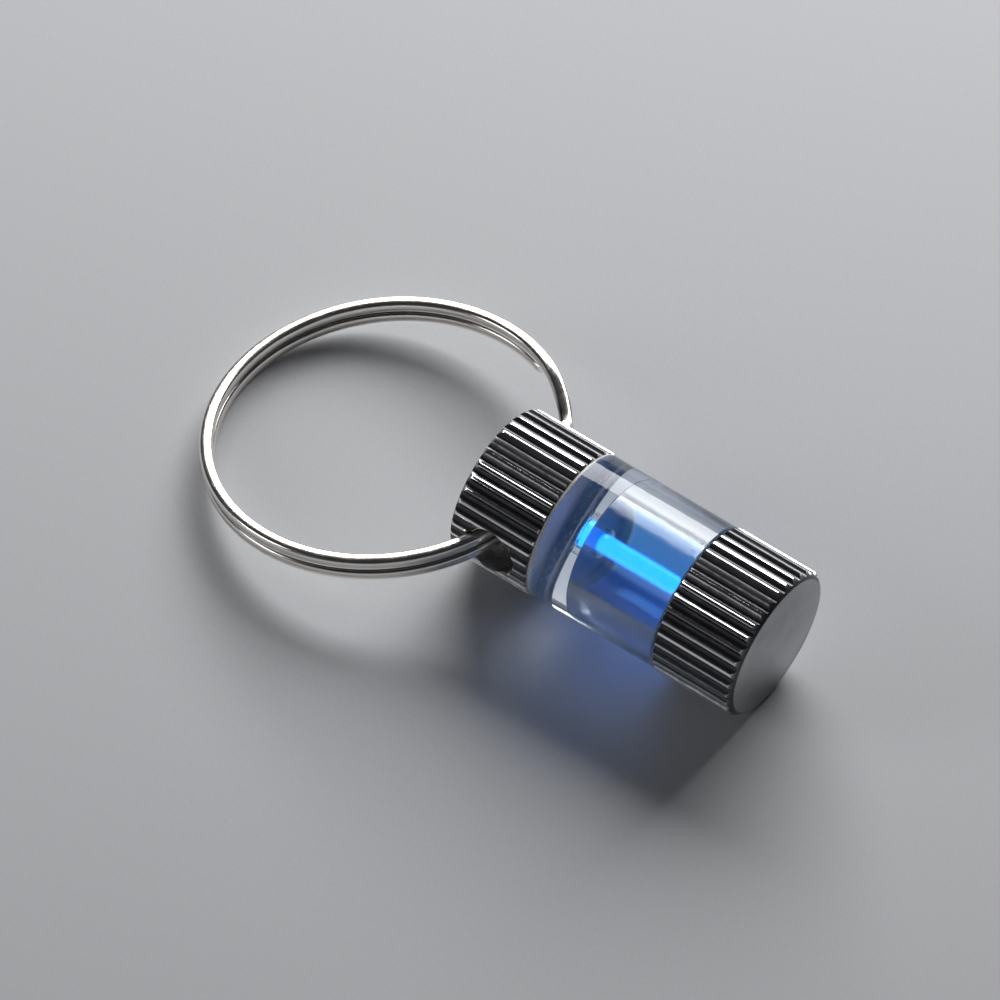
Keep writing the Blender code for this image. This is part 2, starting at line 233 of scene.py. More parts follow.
class Finish:
    """A material under construction: a Principled shader plus the nodes that vary it."""

    def __init__(self, name, **values):
        self.made = bpy.data.materials.new(name)
        self.made.use_nodes = True
        self.tree = self.made.node_tree
        self.shader = self.tree.nodes["Principled BSDF"]
        for socket, value in values.items():
            self.shader.inputs[socket.replace("_", " ")].default_value = value
        self.place = self.node("ShaderNodeTexCoord").outputs["Object"]

    def node(self, kind, **settings):
        made = self.tree.nodes.new(kind)
        for setting, value in settings.items():
            setattr(made, setting, value)
        return made

    def link(self, source, target):
        self.tree.links.new(source, target)

    def millimetres(self, stretch=(1, 1, 1), shift=(0, 0, 0), turn=(0, 0, 0)):
        """The object's own coordinates in millimetres, turned, stretched and then shifted."""
        mapping = self.node("ShaderNodeMapping")
        mapping.inputs["Scale"].default_value = [s / MM for s in stretch]
        mapping.inputs["Rotation"].default_value = turn
        mapping.inputs["Location"].default_value = shift
        self.link(self.place, mapping.inputs["Vector"])
        return mapping.outputs["Vector"]

    def math(self, operation, first, second=None):
        made = self.node("ShaderNodeMath", operation=operation)
        for socket, value in zip(made.inputs, (first, second)):
            if value is None:
                continue
            if isinstance(value, (int, float)):
                socket.default_value = value
            else:
                self.link(value, socket)
        return made.outputs[0]

    def length(self, vector):
        made = self.node("ShaderNodeVectorMath", operation="LENGTH")
        self.link(vector, made.inputs[0])
        return made.outputs["Value"]

    def from_axis(self):
        """Distance from the barrel's axis in millimetres."""
        return self.length(self.millimetres((0, 1, 1), (0, 0, -AXIS_Z)))

    def noise(self, vector, scale, detail=3.0, roughness=0.55):
        made = self.node("ShaderNodeTexNoise")
        made.inputs["Scale"].default_value = scale
        made.inputs["Detail"].default_value = detail
        made.inputs["Roughness"].default_value = roughness
        self.link(vector, made.inputs["Vector"])
        return made.outputs["Fac"]

    def noise_along(self, value, scale, detail=2.0):
        made = self.node("ShaderNodeTexNoise", noise_dimensions="1D")
        made.inputs["Scale"].default_value = scale
        made.inputs["Detail"].default_value = detail
        self.link(value, made.inputs["W"])
        return made.outputs["Fac"]

    def specks(self, vector, scale, size):
        """1 inside small round cells scattered through space, and 0 between them."""
        made = self.node("ShaderNodeTexVoronoi")
        made.inputs["Scale"].default_value = scale
        self.link(vector, made.inputs["Vector"])
        return self.ramp(made.outputs["Distance"], size * 0.7, size, 1.0, 0.0)

    def ramp(self, value, low, high, to_low=0.0, to_high=1.0):
        made = self.node("ShaderNodeMapRange")
        names = ("From Min", "From Max", "To Min", "To Max")
        for socket, number in zip(names, (low, high, to_low, to_high)):
            made.inputs[socket].default_value = number
        self.link(value, made.inputs["Value"])
        return made.outputs["Result"]

    def colours(self, value, *stops):
        made = self.node("ShaderNodeValToRGB")
        elements = made.color_ramp.elements
        while len(elements) < len(stops):
            elements.new(0.5)
        for element, (position, colour) in zip(elements, stops):
            element.position = position
            element.color = (*colour, 1.0)
        self.link(value, made.inputs["Fac"])
        return made.outputs["Color"]

    def bump(self, height, depth, below=None):
        """Relief of a given depth in millimetres, on top of any relief already there."""
        made = self.node("ShaderNodeBump")
        made.inputs["Strength"].default_value = 1.0
        made.inputs["Distance"].default_value = depth * MM
        self.link(height, made.inputs["Height"])
        if below:
            self.link(below, made.inputs["Normal"])
        self.link(made.outputs["Normal"], self.shader.inputs["Normal"])
        return made.outputs["Normal"]

    def drive(self, socket, source):
        self.link(source, self.shader.inputs[socket])


# ---------------------------------------------------------------- materials


def polished_steel():
    """Fluted caps: bright crests, grooves painted dark as painted shade in the hollows and rougher, fine
    cutter lines along the flutes.
    """
    steel = Finish("polished_steel", Metallic=1.0)
    radius = steel.from_axis()
    # Painted shade: the base colour falls from bright crests to dark grooves, its edge made ragged by noise
    # blotches.
    wear_and_shade_blotches = steel.noise(steel.millimetres(), 1.7, 4.0)
    height = steel.math("ADD", radius, steel.ramp(wear_and_shade_blotches, 0.3, 0.7, -0.05, 0.05))
    share = steel.ramp(height, CAP_RADIUS - FLUTE_DEPTH, CAP_RADIUS - 0.02)
    tones = ((0.0, (0.10, 0.10, 0.105)), (0.6, (0.26, 0.26, 0.27)), (0.97, (0.93, 0.93, 0.94)))
    steel.drive("Base Color", steel.colours(share, *tones))
    lines = steel.noise(steel.millimetres((0.35, 16, 16)), 1.0, 3.0)
    smears = steel.noise(steel.millimetres(), 0.45, 5.0)
    groove = steel.ramp(share, 0.0, 1.0, 0.30, 0.06)
    rough = steel.math("ADD", groove, steel.ramp(lines, 0.25, 0.8, 0.0, 0.07))
    steel.drive("Roughness", steel.math("ADD", rough, steel.ramp(smears, 0.45, 0.75, 0.0, 0.06)))
    cut = steel.bump(lines, 0.0008)
    dents = steel.specks(steel.millimetres(), 1.6, 0.05)
    steel.bump(steel.math("MULTIPLY", dents, -1.0), 0.003, below=cut)
    return steel.made


def faced_steel():
    """Flat cap ends: circular turning marks round the barrel's axis."""
    steel = Finish("faced_steel", Metallic=1.0)
    radius = steel.from_axis()
    marks = steel.noise_along(radius, 14.0, 3.0)
    fine = steel.noise_along(radius, 60.0, 1.0)
    smears = steel.noise(steel.millimetres(), 0.6, 4.0)
    tones = ((0.25, (0.30, 0.30, 0.31)), (0.8, (0.42, 0.42, 0.43)))
    steel.drive("Base Color", steel.colours(smears, *tones))
    steel.drive("Roughness", steel.ramp(smears, 0.3, 0.75, 0.16, 0.30))
    steel.bump(fine, 0.0012, below=steel.bump(marks, 0.0035))
    return steel.made


def bored_steel():
    """Inside the cross hole and the sockets: drilled, duller than the crests."""
    steel = Finish("bored_steel", Metallic=1.0)
    rings = steel.noise(steel.millimetres((2.0, 9.0, 2.0)), 1.5, 3.0)
    tones = ((0.2, (0.58, 0.58, 0.59)), (0.8, (0.82, 0.82, 0.83)))
    steel.drive("Base Color", steel.colours(rings, *tones))
    steel.drive("Roughness", steel.ramp(rings, 0.2, 0.8, 0.22, 0.38))
    steel.bump(rings, 0.006)
    return steel.made


def ring_place(finish):
    """Radius, height and angle of a point in the key ring's own frame."""
    centre = ring_to_world(Vector((0.0, 0.0, 0.0))) / MM
    turn = Matrix.Rotation(RING_TILT, 3, "Y")
    local = finish.millimetres(turn=(0.0, RING_TILT, 0.0), shift=-(turn @ centre))
    parts = finish.node("ShaderNodeSeparateXYZ")
    finish.link(local, parts.inputs[0])
    flat = finish.node("ShaderNodeCombineXYZ")
    finish.link(parts.outputs["X"], flat.inputs["X"])
    finish.link(parts.outputs["Y"], flat.inputs["Y"])
    radius = finish.length(flat.outputs[0])
    angle = finish.math("ARCTAN2", parts.outputs["Y"], parts.outputs["X"])
    return radius, parts.outputs["Z"], angle


def nickel_wire():
    """Plated spring wire: drawn lines along the wire, scuffs, and painted shade in the seam between the
    turns.
    """
    wire = Finish("nickel_plated_wire", Metallic=1.0)
    radius, height, angle = ring_place(wire)
    along = wire.node("ShaderNodeCombineXYZ")
    for socket, value, pull in zip(along.inputs, (radius, height, angle), (14.0, 14.0, 3.5)):
        wire.link(wire.math("MULTIPLY", value, pull), socket)
    drawn = wire.noise(along.outputs[0], 1.0, 4.0)
    scuffs = wire.noise(wire.millimetres(), 0.9, 5.0, 0.62)
    # Painted shade: the base colour darkens in the crevice between the two stacked turns.
    seam_shade = wire.ramp(wire.math("ABSOLUTE", height), 0.05, 0.22)
    wear_and_shade_blotches = wire.ramp(scuffs, 0.3, 0.7, 0.95, 1.0)
    tone = wire.math("MULTIPLY", wear_and_shade_blotches, wire.ramp(seam_shade, 0.0, 1.0, 0.45, 1.0))
    wire.drive("Base Color", wire.colours(tone, (0.4, (0.32, 0.30, 0.275)), (1.0, (0.97, 0.93, 0.88))))
    dull = wire.ramp(scuffs, 0.5, 0.8, 0.0, 0.10)
    wire.drive("Roughness", wire.math("ADD", wire.ramp(drawn, 0.2, 0.8, 0.15, 0.22), dull))
    lines = wire.bump(drawn, 0.0020)
    nicks = wire.specks(wire.millimetres(), 1.1, 0.06)
    wire.bump(wire.math("MULTIPLY", nicks, -1.0), 0.008, below=lines)
    return wire.made


def clear_acrylic():
    """The polished outside of the clear body, with hairline scratches and faint smears."""
    acrylic = Finish("clear_acrylic", Base_Color=(0.86, 0.93, 1.0, 1.0), Transmission_Weight=1.0, IOR=1.49)
    smears = acrylic.noise(acrylic.millimetres(), 0.5, 5.0)
    scratches = acrylic.noise(acrylic.millimetres((1.2, 22, 22)), 1.0, 2.0)
    acrylic.drive("Roughness", acrylic.ramp(smears, 0.4, 0.8, 0.006, 0.05))
    acrylic.bump(scratches, 0.0007)
    return acrylic.made


def bored_acrylic():
    """The bore's wall: drilled and flame polished, with soft tool rings that catch the vial's light."""
    # Painted light: the deep blue tint paints the vial's blue glow into the wall of clear acrylic.
    acrylic = Finish("bored_acrylic", Base_Color=(0.14, 0.45, 1.0, 1.0), Transmission_Weight=0.97, IOR=1.49)
    rings = acrylic.noise(acrylic.millimetres((9.0, 0.6, 0.6)), 1.3, 3.0)
    haze = acrylic.noise(acrylic.millimetres(), 0.8, 4.0)
    acrylic.drive("Roughness", acrylic.ramp(haze, 0.3, 0.8, 0.10, 0.20))
    acrylic.bump(rings, 0.0020)
    return acrylic.made


def wetted_joint():
    """Acrylic wetted by the ring cap's adhesive: the cap's grey floor shows through, with bubbles."""
    joint = Finish("wetted_joint", Metallic=0.1)
    radius = joint.from_axis()
    clouds = joint.noise(joint.millimetres(), 0.7, 5.0)
    marks = joint.noise_along(radius, 5.0)
    tone = joint.math("ADD", joint.math("MULTIPLY", clouds, 0.6), joint.math("MULTIPLY", marks, 0.4))
    base = joint.colours(tone, (0.3, (0.46, 0.45, 0.43)), (0.7, (0.68, 0.66, 0.62)))
    large = joint.specks(joint.millimetres(), 2.4, 0.22)
    small = joint.specks(joint.millimetres(), 5.5, 0.3)
    near_rim = joint.ramp(radius, 3.4, 4.4)
    bubbles = joint.math("MAXIMUM", large, joint.math("MULTIPLY", small, near_rim))
    mixed = joint.node("ShaderNodeMix", data_type="RGBA")
    joint.link(bubbles, mixed.inputs["Factor"])
    joint.link(base, mixed.inputs["A"])
    mixed.inputs["B"].default_value = (0.95, 0.95, 0.95, 1.0)
    joint.drive("Base Color", mixed.outputs["Result"])
    joint.drive("Roughness", joint.ramp(clouds, 0.3, 0.7, 0.28, 0.45))
    joint.bump(bubbles, 0.05)
    return joint.made


def wetted_pocket():
    """Acrylic wetted by the vial's adhesive: the two match, so the pocket's wall barely shows."""
    wall = Finish("wetted_pocket", Base_Color=(0.95, 0.98, 1.0, 1.0), Transmission_Weight=1.0, IOR=1.02)
    flow = wall.noise(wall.millimetres(), 1.6, 3.0)
    wall.drive("Roughness", wall.ramp(flow, 0.3, 0.8, 0.0, 0.04))
    wall.bump(flow, 0.004)
    return wall.made


def vial_glass():
    """Thin drawn glass with faint ripples along its length."""
    glass = Finish("vial_glass", Base_Color=(0.93, 0.98, 1.0, 1.0), Transmission_Weight=1.0, IOR=1.47)
    ripples = glass.noise(glass.millimetres((0.8, 3, 3)), 1.0, 2.0)
    glass.drive("Roughness", glass.ramp(ripples, 0.3, 0.8, 0.0, 0.03))
    glass.bump(ripples, 0.0015)
    return glass.made


def blue_phosphor():
    """Powder coat that glows: paler where thick, deeper blue where thin, dimmer at its ends."""
    glow = Finish("blue_phosphor", Roughness=0.6, Emission_Strength=3.2)
    place = glow.millimetres()
    grains = glow.noise(place, 9.0, 3.0)
    patches = glow.noise(place, 1.3, 3.0)
    along = glow.node("ShaderNodeSeparateXYZ")
    glow.link(place, along.inputs[0])
    middle = (TUBE_LOW + TUBE_HIGH) / 2
    reach = glow.math("ABSOLUTE", glow.math("SUBTRACT", along.outputs["X"], middle))
    half = (TUBE_HIGH - TUBE_LOW) / 2
    ends = glow.ramp(reach, half - 0.8, half, 1.0, 0.55)
    grain_tone = glow.ramp(grains, 0.2, 0.8, 0.82, 1.0)
    thick = glow.math("MULTIPLY", grain_tone, glow.ramp(patches, 0.3, 0.7, 0.88, 1.0))
    colour = glow.colours(
        glow.math("MULTIPLY", thick, ends),
        (0.3, (0.0, 0.19, 0.80)),
        (0.8, (0.03, 0.29, 1.0)),
        (1.0, (0.05, 0.32, 1.0)),
    )
    glow.drive("Emission Color", colour)
    glow.drive("Base Color", glow.colours(grains, (0.3, (0.10, 0.40, 0.90)), (0.7, (0.30, 0.65, 1.0))))
    glow.bump(grains, 0.01)
    return glow.made


def clear_adhesive():
    """Set adhesive, matched to the acrylic round it, with slow flow lines and tiny bubbles."""
    glue = Finish("clear_adhesive", Base_Color=(0.92, 0.97, 1.0, 1.0), Transmission_Weight=0.98, IOR=1.06)
    place = glue.millimetres()
    flow = glue.noise(place, 1.4, 3.0)
    glue.drive("Roughness", glue.ramp(flow, 0.3, 0.8, 0.02, 0.12))
    glue.bump(glue.specks(place, 4.0, 0.28), 0.03, below=glue.bump(flow, 0.02))
    return glue.made


def white_silicone():
    """Soft matt silicone, slightly translucent."""
    soft = Finish("white_silicone", Subsurface_Weight=0.35, Subsurface_Scale=0.0006, Specular_IOR_Level=0.4)
    place = soft.millimetres()
    cloud = soft.noise(place, 0.7, 4.0)
    grain = soft.noise(place, 14.0, 2.0)
    soft.drive("Base Color", soft.colours(cloud, (0.2, (0.70, 0.72, 0.75)), (0.8, (0.84, 0.86, 0.88))))
    soft.drive("Roughness", soft.ramp(grain, 0.2, 0.8, 0.42, 0.60))
    soft.bump(grain, 0.006)
    return soft.made


def black_rubber():
    """Dusty black rubber with a fine grain."""
    rubber = Finish("black_rubber", Specular_IOR_Level=0.35)
    place = rubber.millimetres()
    grain = rubber.noise(place, 20.0, 3.0)
    dust = rubber.noise(place, 1.1, 4.0)
    tones = ((0.3, (0.016, 0.016, 0.017)), (0.8, (0.05, 0.05, 0.052)))
    rubber.drive("Base Color", rubber.colours(dust, *tones))
    rubber.drive("Roughness", rubber.ramp(grain, 0.2, 0.8, 0.45, 0.65))
    rubber.bump(grain, 0.004)
    return rubber.made


# ---------------------------------------------------------------- caps


def flute_depth(angle):
    """Depth of the flutes at an angle: a narrow rounded crest, then a scooped hollow."""
    turn = (angle - FLUTE_PHASE) * FLUTES / (2 * math.pi)
    from_crest = abs(turn - round(turn))
    reach = (0.5 - from_crest) / (0.5 - CREST_SHARE)
    hollow = FLUTE_DEPTH * (1.0 - reach * reach)
    return (hollow + math.sqrt(hollow * hollow + CREST_ROUNDING**2)) / 2


def thread_height(station, angle, start, end):
    """Rise of a right-hand thread on the barrel's axis, fading out at both ends of its run."""
    turn = (station - start) / THREAD_PITCH - angle / (2 * math.pi)
    ridge = max(0.0, 1.0 - abs(turn - math.floor(turn) - 0.5) * 3.2)
    fade = min(1.0, max(0.0, (station - start) / 0.5), max(0.0, (end - station) / 0.5))
    return THREAD_HEIGHT * ridge * fade


def cap_rows(shape, free_end, joint_end, free_edge):
    """The fluted outside of a cap, from its flat end to its joint face, as rows of vertices."""
    inward = 1.0 if joint_end > free_end else -1.0
    columns = FLUTES * FLUTE_SAMPLES
    angles = [2 * math.pi * column / columns + FLUTE_PHASE for column in range(columns)]
    depths = [flute_depth(angle) for angle in angles]
    rows = []
    edge_steps = 8
    for step in range(edge_steps + 1):
        row = []
        for angle, depth in zip(angles, depths):
            station, radius = free_edge(depth, step / edge_steps)
            row.append(shape.verts.new(around(free_end + inward * station, radius, angle)))
        rows.append(row)
    for share in (0.25, 0.5, 0.75, 1.0):
        row = []
        for angle, depth in zip(angles, depths):
            start = free_edge(depth, 1.0)[0]
            cut = max(JOINT_CHAMFER - depth, 0.03)
            end = abs(joint_end - free_end) - cut
            station = start + (end - start) * share
            row.append(shape.verts.new(around(free_end + inward * station, CAP_RADIUS - depth, angle)))
        rows.append(row)
    last = []
    for angle, depth in zip(angles, depths):
        cut = max(JOINT_CHAMFER - depth, 0.03)
        last.append(shape.verts.new(around(joint_end, CAP_RADIUS - depth - cut, angle)))
    rows.append(last)
    return rows, angles


def rounded_edge(depth, share):
    """A quarter-round free edge, up to where it meets the flute's floor."""
    size = RING_CAP_ROUNDING
    angle = math.asin(max(0.0, 1.0 - depth / size)) * share
    return size * (1.0 - math.cos(angle)), CAP_RADIUS - size * (1.0 - math.sin(angle))


def chamfered_edge(depth, share):
    """A flat chamfer on the free edge, up to where it meets the flute's floor."""
    ease = 0.04
    rise = (END_CAP_CHAMFER - depth) * share
    if share == 0.0:
        return 0.0, CAP_RADIUS - END_CAP_CHAMFER - ease
    return rise, CAP_RADIUS - END_CAP_CHAMFER + rise


def cap_shape(free_end, joint_end, free_edge, socket, thread=None):
    """A fluted cap: flat end, fluted side, and a socket of (station, radius) points from the joint in."""
    shape = bmesh.new()
    rows, angles = cap_rows(shape, free_end, joint_end, free_edge)
    for station, radius in socket:
        row = []
        for angle in angles:
            grown = thread(station, angle) if thread else 0.0
            row.append(shape.verts.new(around(station, radius + grown, angle)))
        rows.append(row)
    outside = len(rows) - len(socket)
    for index, (low, high) in enumerate(zip(rows, rows[1:])):
        join_rows(shape, low, high, 0 if index < outside - 1 else 2)
    shape.faces.new(rows[0]).material_index = 1
    shape.faces.new(rows[-1]).material_index = 2
    return shape


def make_end_cap(steels):
    """The end cap: an O-ring seat at its mouth, then a threaded socket."""
    seat_radius, radius = O_RING_SEAT_RADIUS, END_CAP_SOCKET_RADIUS
    floor = CLEAR_OUTER + END_CAP_SOCKET_DEPTH
    run_start, run = GROOVE_END + 0.15, floor - GROOVE_END - 0.3
    mouth = [(END_CAP_JOINT, seat_radius + 0.06), (END_CAP_JOINT + 0.06, seat_radius)]
    seat = [(GROOVE_END, seat_radius), (GROOVE_END, 4.9)]
    count = round(run / (THREAD_PITCH / 6))
    threads = [(run_start + run * step / count, radius) for step in range(count + 1)]
    socket = mouth + seat + threads + [(floor - 0.05, radius - 0.02), (floor, radius - 0.08)]

    def thread(station, angle):
        return thread_height(station, angle + math.pi, run_start, floor - 0.4)

    shape = cap_shape(END_CAP_END, END_CAP_JOINT, chamfered_edge, socket, thread)
    finish_piece("fluted_end_cap", shape, "end_cap", "end_cap", steels, CAP_SHARP_DEGREES)


def hole_cutter():
    """The cross hole with its flared mouths, as a turned tool along Y."""
    shape = bmesh.new()
    mouth = CAP_RADIUS + 0.6
    steps = 10
    outline = []
    for step in range(steps + 1):
        angle = HOLE_FLARE_ANGLE * step / steps
        along = CAP_RADIUS - HOLE_FLARE_START + HOLE_FLARE * math.sin(angle)
        outline.append((along, HOLE_RADIUS + HOLE_FLARE * (1 - math.cos(angle))))
    wide = outline[-1][1] + (mouth - outline[-1][0]) * math.tan(HOLE_FLARE_ANGLE)
    outline.append((mouth, wide))
    outline = [(-y, r) for y, r in reversed(outline)] + outline
    columns = 96
    rows = []
    for y, r in outline:
        row = []
        for column in range(columns):
            angle = 2 * math.pi * column / columns
            spot = Vector((HOLE_X + r * math.cos(angle), y, AXIS_Z + r * math.sin(angle)))
            row.append(shape.verts.new(spot * MM))
        rows.append(row)
    for low, high in zip(rows, rows[1:]):
        join_rows(shape, low, high)
    shape.faces.new(rows[0])
    shape.faces.new(rows[-1])
    bmesh.ops.recalc_face_normals(shape, faces=shape.faces)
    mesh = bpy.data.meshes.new("hole_cutter")
    shape.to_mesh(mesh)
    shape.free()
    cutter = bpy.data.objects.new("hole_cutter", mesh)
    bpy.context.scene.collection.objects.link(cutter)
    return cutter


def make_ring_cap(steels):
    """The ring cap, with a shallow socket and the cross hole drilled through its flutes."""
    radius = RING_CAP_SOCKET_RADIUS
    floor = CLEAR_INNER - RING_CAP_SOCKET_DEPTH
    mouth = [(RING_CAP_JOINT, radius + 0.06), (RING_CAP_JOINT - 0.06, radius)]
    socket = mouth + [(floor + 0.05, radius), (floor, radius - 0.05)]
    shape = cap_shape(RING_CAP_END, RING_CAP_JOINT, rounded_edge, socket)
    sharp = CAP_SHARP_DEGREES
    cap = finish_piece("fluted_ring_cap", shape, "barrel", "ring_cap", steels, sharp)
    cutter = hole_cutter()
    cutter.data.materials.append(steels[2])
    drill = cap.modifiers.new("Cross hole", "BOOLEAN")
    drill.operation = "DIFFERENCE"
    drill.solver = "EXACT"
    drill.material_mode = "TRANSFER"
    drill.object = cutter
    bpy.context.view_layer.update()
    graph = bpy.context.evaluated_depsgraph_get()
    drilled = bpy.data.meshes.new_from_object(cap.evaluated_get(graph))
    cap.modifiers.clear()
    cap.data = drilled
    drilled.name = cap.name
    bpy.data.objects.remove(cutter, do_unlink=True)
    drilled.shade_smooth()
    drilled.set_sharp_from_angle(angle=math.radians(sharp))


# ---------------------------------------------------------------- clear body and what it holds


def make_clear_body(materials):
    """The clear cylinder: glued spigot, polished outside, threaded spigot, wide bore and vial pocket."""
    outside, bore, glued, pocket = 0, 1, 2, 3
    start = [
        (CLEAR_INNER, INNER_SPIGOT_RADIUS, 0.0, glued),
        (CLEAR_INNER, CLEAR_RADIUS, 0.15, glued),
        (CLEAR_INNER + 0.2, CLEAR_RADIUS, 0.0, outside),
        (CLEAR_OUTER, CLEAR_RADIUS, 0.22, outside),
        (CLEAR_OUTER, GROOVE_RADIUS, 0.04, outside),
        (GROOVE_END, GROOVE_RADIUS, 0.04, outside),
        (GROOVE_END, OUTER_SPIGOT_RADIUS, 0.04, outside),
    ]
    finish = [
        (OUTER_SPIGOT_END, OUTER_SPIGOT_RADIUS - 0.02, 0.15, outside),
        (OUTER_SPIGOT_END, BORE_RADIUS, 0.08, bore),
        (BORE_FLOOR, BORE_RADIUS, 0.12, outside),
        (BORE_FLOOR, POCKET_RADIUS, 0.05, pocket),
        (POCKET_FLOOR, POCKET_RADIUS, 0.1, pocket),
        (POCKET_FLOOR, 0.0, 0.0, pocket),
    ]
    spigot = [
        (INNER_SPIGOT_END, 0.0, 0.0, glued),
        (INNER_SPIGOT_END, INNER_SPIGOT_RADIUS, 0.05, glued),
    ]
    columns = 144
    run_start, run_end = GROOVE_END + 0.1, OUTER_SPIGOT_END - 0.2
    turns = round((run_end - run_start) / (THREAD_PITCH / 8))
    shape = bmesh.new()
    outline = eased(spigot + start + finish)
    at_groove = [i for i, (x, r, _) in enumerate(outline) if abs(x - GROOVE_END) < 0.05 and r > 4.4]
    split = at_groove[-1] + 1
    stations = (run_start + (run_end - run_start) * step / turns for step in range(turns + 1))
    thread_run = [(station, OUTER_SPIGOT_RADIUS, outside) for station in stations]
    outline = outline[:split] + thread_run + outline[split:]
    rows = []
    for x, r, _ in outline:
        if r < 1e-5:
            rows.append([shape.verts.new(around(x, 0.0, 0.0))])
            continue
        row = []
        for column in range(columns):
            angle = 2 * math.pi * column / columns
            on_spigot = run_start <= x <= run_end and abs(r - OUTER_SPIGOT_RADIUS) < 1e-6
            rise = thread_height(x, angle, run_start, run_end) if on_spigot else 0.0
            row.append(shape.verts.new(around(x, r + rise, angle)))
        rows.append(row)
    for (low, high), (_, _, material) in zip(zip(rows, rows[1:]), outline):
        join_rows(shape, low, high, material)
    finish_piece("acrylic_body", shape, "barrel", "clear_body", materials, 30.0)


def make_ring_cap_bond(glue):
    """A thin cup of adhesive between the clear body's spigot and the ring cap's socket."""
    low, high = span_x("ring_cap_bond")
    corners = [
        (high, BOND_INNER_RADIUS, 0.05, 0),
        (high, BOND_OUTER_RADIUS, 0.05, 0),
        (low, BOND_OUTER_RADIUS, 0.05, 0),
        (low, 0.0, 0.0, 0),
        (INNER_SPIGOT_END - 0.05, 0.0, 0.0, 0),
        (INNER_SPIGOT_END - 0.05, BOND_INNER_RADIUS, 0.05, 0),
    ]
    shape = bmesh.new()
    lathe(shape, eased(corners), 96)
    finish_piece("ring_cap_adhesive", shape, "barrel", "ring_cap_bond", (glue,))


def make_socket_bond(glue):
    """Adhesive round the vial in its pocket, with a sagging meniscus at the top."""
    low, high = span_x("vial_socket_bond")
    corners = [
        (low, VIAL_RADIUS + 0.04, 0.03, 0),
        (low, POCKET_RADIUS - 0.04, 0.05, 0),
        (high, POCKET_RADIUS - 0.04, 0.0, 0),
        (high - 0.22, (VIAL_RADIUS + POCKET_RADIUS) / 2, 0.1, 0),
        (high - 0.05, VIAL_RADIUS + 0.04, 0.0, 0),
    ]
    turned_piece("vial_adhesive", corners, 64, "barrel", "vial_socket_bond", (glue,))


def make_bubbles(glue):
    """Air bubbles caught in the vial's adhesive, as small pearls between the vial and its pocket."""
    maker = random.Random(11)
    low, high = span_x("vial_socket_bond")
    middle = (VIAL_RADIUS + POCKET_RADIUS) / 2
    shape = bmesh.new()
    for _ in range(16):
        size = maker.uniform(0.025, 0.07)
        spot = around(maker.uniform(low + 0.1, high - 0.35), middle, maker.uniform(0, 2 * math.pi))
        place = Matrix.Translation(spot)
        bmesh.ops.create_icosphere(shape, subdivisions=2, radius=size * MM, matrix=place)
    finish_piece("adhesive_bubbles", shape, "barrel", None, (glue,))


def make_o_ring(rubber):
    """The seal between the clear body and the end cap."""
    low, high = span_x("body_o_ring")
    middle, half = (low + high) / 2, (high - low) / 2
    outline = []
    for step in range(24):
        angle = 2 * math.pi * step / 24
        outline.append((middle + half * math.cos(angle), O_RING_RADIUS + half * math.sin(angle), 0))
    shape = bmesh.new()
    lathe(shape, outline, 128)
    finish_piece("o_ring", shape, "barrel", "body_o_ring", (rubber,), 80.0)


def make_vial(glass, phosphor):
    """Glass tube with a coat of phosphor inside and a fused, flame-rounded end at each side."""
    tube = [
        (TUBE_LOW, VIAL_BORE, 0.0, 0),
        (TUBE_LOW, VIAL_RADIUS, 0.0, 0),
        (TUBE_HIGH, VIAL_RADIUS, 0.0, 0),
        (TUBE_HIGH, VIAL_BORE, 0.0, 0),
    ]
    turned_piece("vial_tube", tube, 64, "barrel", "vial_glass", (glass,))
    low, high = span_x("phosphor_lining")
    coat = [
        (low, LINING_RADIUS - 0.1, 0.02, 0),
        (low, LINING_RADIUS, 0.03, 0),
        (high, LINING_RADIUS, 0.03, 0),
        (high, LINING_RADIUS - 0.1, 0.02, 0),
    ]
    turned_piece("phosphor_coat", coat, 64, "barrel", "phosphor_lining", (phosphor,))
    make_vial_end("vial_inner_seal", "vial_end_inner", span_x("vial_end_inner")[::-1], 0.0, glass)
    make_vial_end("vial_outer_seal", "vial_end_outer", span_x("vial_end_outer"), 0.16, glass)


def make_vial_end(name, node, ends, tip, glass):
    """A fused end between its flat face and its far point; tip is the half width of a sealed-off nib."""
    flat, far = ends
    reach = far - flat
    shape = bmesh.new()
    outline = [(flat, 0.0, 0), (flat, VIAL_RADIUS, 0)]
    steps = 12
    dome = 0.55 if tip else 0.7
    for step in range(1, steps + 1):
        angle = math.pi / 2 * step / steps
        radius = VIAL_RADIUS * math.cos(angle)
        station = flat + reach * (1.0 - dome) + reach * (dome if not tip else 0.33) * math.sin(angle)
        if tip and radius < tip * 1.4:
            break
        outline.append((station, max(radius, 0.0) if step < steps else 0.0, 0))
    if tip:
        outline += [(far - reach * 0.14, tip, 0), (far - reach * 0.04, tip * 0.8, 0), (far, 0.0, 0)]
    lathe(shape, outline, 64, closed=False)
    finish_piece(name, shape, "barrel", node, (glass,), 50.0)


